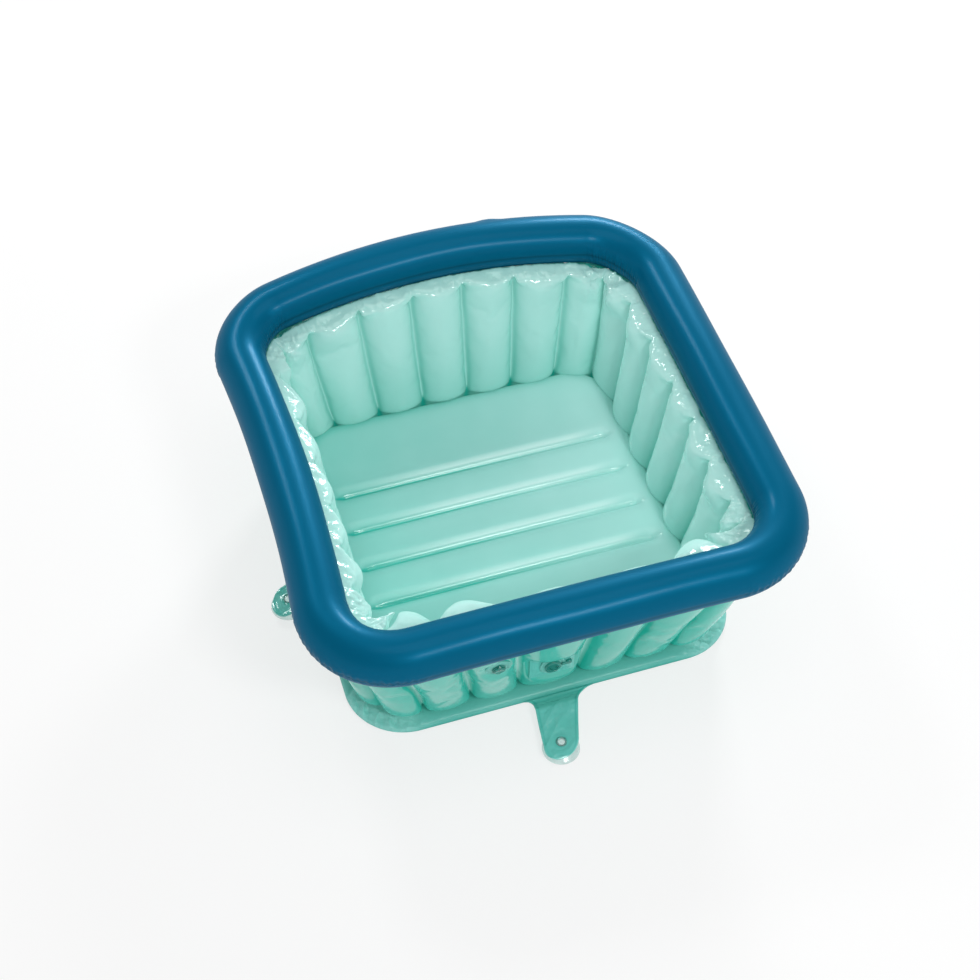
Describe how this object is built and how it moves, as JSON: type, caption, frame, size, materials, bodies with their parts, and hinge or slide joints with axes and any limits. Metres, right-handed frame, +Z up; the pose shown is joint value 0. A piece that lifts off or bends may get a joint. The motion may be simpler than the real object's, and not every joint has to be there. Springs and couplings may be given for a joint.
{
  "type": "inflatable bathtub",
  "caption": "Square inflatable bathtub with a fat top ring, upright ribbed air walls, a beamed air floor, air valves, a plugged drain and suction-cup tabs.",
  "frame": {"origin": "on the ground under the middle of the square base", "axes": "+Z up, -Y towards the front with the drain, +X to the right as seen from the front"},
  "size_m": [0.5917, 0.6566, 0.2682],
  "materials": {
    "ring_vinyl": "satin inflated vinyl film",
    "wall_vinyl": "glossy translucent inflated vinyl film",
    "floor_vinyl": "glossy translucent inflated vinyl film",
    "base_vinyl": "glossy translucent inflated vinyl film",
    "tab_vinyl": "glossy soft vinyl sheet",
    "valve_vinyl": "moulded soft vinyl",
    "ring_fitting": "moulded soft vinyl",
    "clear_vinyl": "clear moulded soft vinyl"
  },
  "bodies": {
    "tub": {"top_ring": "ring_vinyl", "wall_front": "wall_vinyl", "wall_right": "wall_vinyl", "wall_back": "wall_vinyl", "wall_left": "wall_vinyl", "base_band": "base_vinyl", "base_sheet": "base_vinyl", "floor_pad": "floor_vinyl", "wall_valve_flange": "valve_vinyl", "ring_valve_flange": "ring_fitting", "drain_patch": "tab_vinyl", "drain_outlet": "valve_vinyl", "drain_inner_ring": "valve_vinyl", "drain_tether": "clear_vinyl"},
    "tab_front": {"tab_front": "tab_vinyl"},
    "suction_cup_front": {"suction_cup_front": "clear_vinyl"},
    "tab_right": {"tab_right": "tab_vinyl"},
    "suction_cup_right": {"suction_cup_right": "clear_vinyl"},
    "tab_back": {"tab_back": "tab_vinyl"},
    "suction_cup_back": {"suction_cup_back": "clear_vinyl"},
    "tab_left": {"tab_left": "tab_vinyl"},
    "suction_cup_left": {"suction_cup_left": "clear_vinyl"},
    "wall_valve_stem": {"wall_valve_stem": "clear_vinyl"},
    "wall_valve_cap": {"wall_valve_cap": "clear_vinyl"},
    "wall_valve_flap": {"wall_valve_flap": "clear_vinyl"},
    "ring_valve_stem": {"ring_valve_stem": "clear_vinyl"},
    "ring_valve_cap": {"ring_valve_cap": "clear_vinyl"},
    "ring_valve_flap": {"ring_valve_flap": "clear_vinyl"},
    "drain_plug": {"drain_plug": "clear_vinyl"}
  },
  "joints": [
    {"name": "tab_front_bend", "type": "hinge", "parent": "tub", "child": "tab_front", "pos_m": [0, -0.2398, 0.005], "axis": [-1, 0, 0], "range_deg": [-60, 60]},
    {"name": "suction_cup_front_turn", "type": "hinge", "parent": "tab_front", "child": "suction_cup_front", "pos_m": [-0.01836, -0.3063, 0.01], "axis": [0, 0, 1], "continuous": true},
    {"name": "tab_right_bend", "type": "hinge", "parent": "tub", "child": "tab_right", "pos_m": [0.2398, 0, 0.005], "axis": [0, -1, 0], "range_deg": [-60, 60]},
    {"name": "suction_cup_right_turn", "type": "hinge", "parent": "tab_right", "child": "suction_cup_right", "pos_m": [0.2703, 0, 0.01], "axis": [0, 0, 1], "continuous": true},
    {"name": "tab_back_bend", "type": "hinge", "parent": "tub", "child": "tab_back", "pos_m": [0, 0.2398, 0.005], "axis": [1, 0, 0], "range_deg": [-60, 60]},
    {"name": "suction_cup_back_turn", "type": "hinge", "parent": "tab_back", "child": "suction_cup_back", "pos_m": [0, 0.3063, 0.01], "axis": [0, 0, 1], "continuous": true},
    {"name": "tab_left_bend", "type": "hinge", "parent": "tub", "child": "tab_left", "pos_m": [-0.2398, -0.008, 0.005], "axis": [0, 1, 0], "range_deg": [-60, 60]},
    {"name": "suction_cup_left_turn", "type": "hinge", "parent": "tab_left", "child": "suction_cup_left", "pos_m": [-0.2703, -0.0192, 0.01], "axis": [0, 0, 1], "continuous": true},
    {"name": "wall_valve_pull", "type": "slide", "parent": "tub", "child": "wall_valve_stem", "axis": [0, -0.9801, -0.1987], "range_m": [0, 0.009]},
    {"name": "wall_valve_cap_open", "type": "hinge", "parent": "wall_valve_stem", "child": "wall_valve_cap", "pos_m": [-0.07695, -0.25452, 0.12138], "axis": [-1, 0, 0], "range_deg": [0, 120]},
    {"name": "wall_valve_flap_open", "type": "hinge", "parent": "wall_valve_stem", "child": "wall_valve_flap", "pos_m": [-0.07695, -0.22928, 0.12068], "axis": [1, 0, 0], "range_deg": [0, 35], "stiffness_Nm_per_rad": 0.00002},
    {"name": "ring_valve_pull", "type": "slide", "parent": "tub", "child": "ring_valve_stem", "axis": [0.0658, 0.9978, 0], "range_m": [0, 0.009]},
    {"name": "ring_valve_cap_open", "type": "hinge", "parent": "ring_valve_stem", "child": "ring_valve_cap", "pos_m": [0.08033, 0.30415, 0.24653], "axis": [0.9978, -0.0658, 0], "range_deg": [0, 120]},
    {"name": "ring_valve_flap_open", "type": "hinge", "parent": "ring_valve_stem", "child": "ring_valve_flap", "pos_m": [0.07871, 0.2796, 0.24083], "axis": [-0.9978, 0.0658, 0], "range_deg": [0, 35], "stiffness_Nm_per_rad": 0.00002},
    {"name": "drain_plug_pull", "type": "slide", "parent": "tub", "child": "drain_plug", "axis": [0, -1, 0], "range_m": [0, 0.014]}
  ]
}
